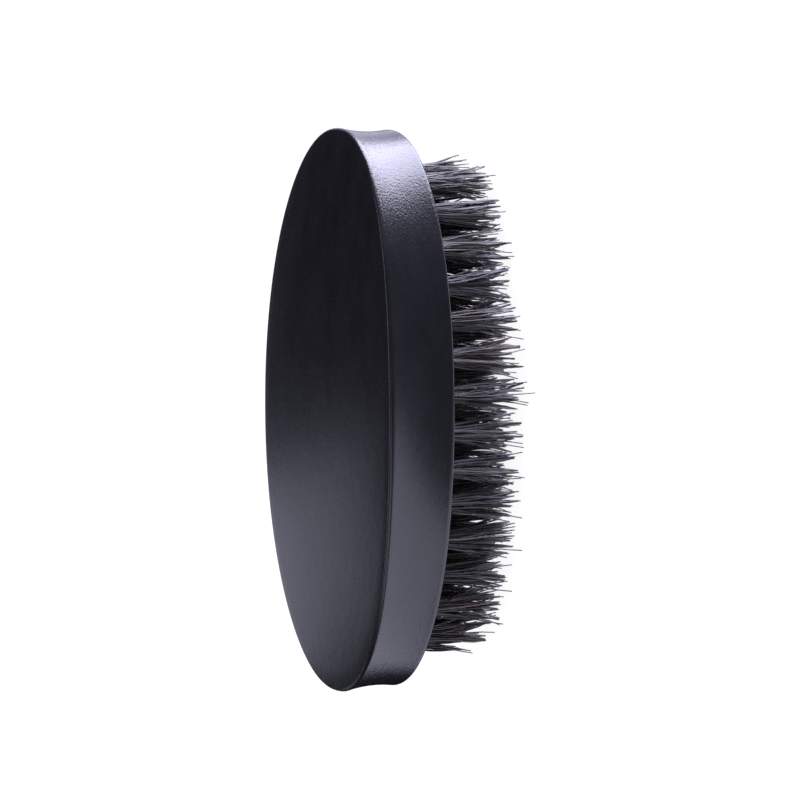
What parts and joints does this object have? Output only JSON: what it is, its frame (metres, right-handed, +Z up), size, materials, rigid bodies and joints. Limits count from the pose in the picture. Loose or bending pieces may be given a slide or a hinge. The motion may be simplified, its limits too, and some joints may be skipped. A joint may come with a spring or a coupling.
{
  "type": "beard brush",
  "caption": "Oval palm beard brush with a crowned, lacquered wooden block, a shallow finger groove and rings of dark bristle tufts.",
  "frame": {"origin": "centre of the plane of the bristle tips, under the middle of the block", "axes": "+Z up from the bristle tips to the crowned back, X along the block's length, Y across it"},
  "size_m": [0.11, 0.047, 0.0347],
  "materials": {
    "lacquered_wood": "satin black lacquer",
    "bristle": "natural dark boar bristle, slightly glossy",
    "anchor_wire": "drawn flat wire"
  },
  "bodies": {
    "root": {"block": "lacquered_wood", "outer_tuft_01": "bristle", "outer_tuft_02": "bristle", "outer_tuft_03": "bristle", "outer_tuft_04": "bristle", "outer_tuft_05": "bristle", "outer_tuft_06": "bristle", "outer_tuft_07": "bristle", "outer_tuft_08": "bristle", "outer_tuft_09": "bristle", "outer_tuft_10": "bristle", "outer_tuft_11": "bristle", "outer_tuft_12": "bristle", "outer_tuft_13": "bristle", "outer_tuft_14": "bristle", "outer_tuft_15": "bristle", "outer_tuft_16": "bristle", "outer_tuft_17": "bristle", "outer_tuft_18": "bristle", "outer_tuft_19": "bristle", "outer_tuft_20": "bristle", "outer_tuft_21": "bristle", "outer_tuft_22": "bristle", "outer_tuft_23": "bristle", "outer_tuft_24": "bristle", "outer_tuft_25": "bristle", "outer_tuft_26": "bristle", "outer_tuft_27": "bristle", "outer_tuft_28": "bristle", "outer_tuft_29": "bristle", "outer_tuft_30": "bristle", "second_tuft_01": "bristle", "second_tuft_02": "bristle", "second_tuft_03": "bristle", "second_tuft_04": "bristle", "second_tuft_05": "bristle", "second_tuft_06": "bristle", "second_tuft_07": "bristle", "second_tuft_08": "bristle", "second_tuft_09": "bristle", "second_tuft_10": "bristle", "second_tuft_11": "bristle", "second_tuft_12": "bristle", "second_tuft_13": "bristle", "second_tuft_14": "bristle", "second_tuft_15": "bristle", "second_tuft_16": "bristle", "second_tuft_17": "bristle", "second_tuft_18": "bristle", "second_tuft_19": "bristle", "second_tuft_20": "bristle", "second_tuft_21": "bristle", "second_tuft_22": "bristle", "second_tuft_23": "bristle", "second_tuft_24": "bristle", "third_ring_tufts": "bristle", "centre_row_tufts": "bristle", "outer_ring_anchors": "anchor_wire", "second_ring_anchors": "anchor_wire", "inner_anchors": "anchor_wire"}
  },
  "joints": []
}
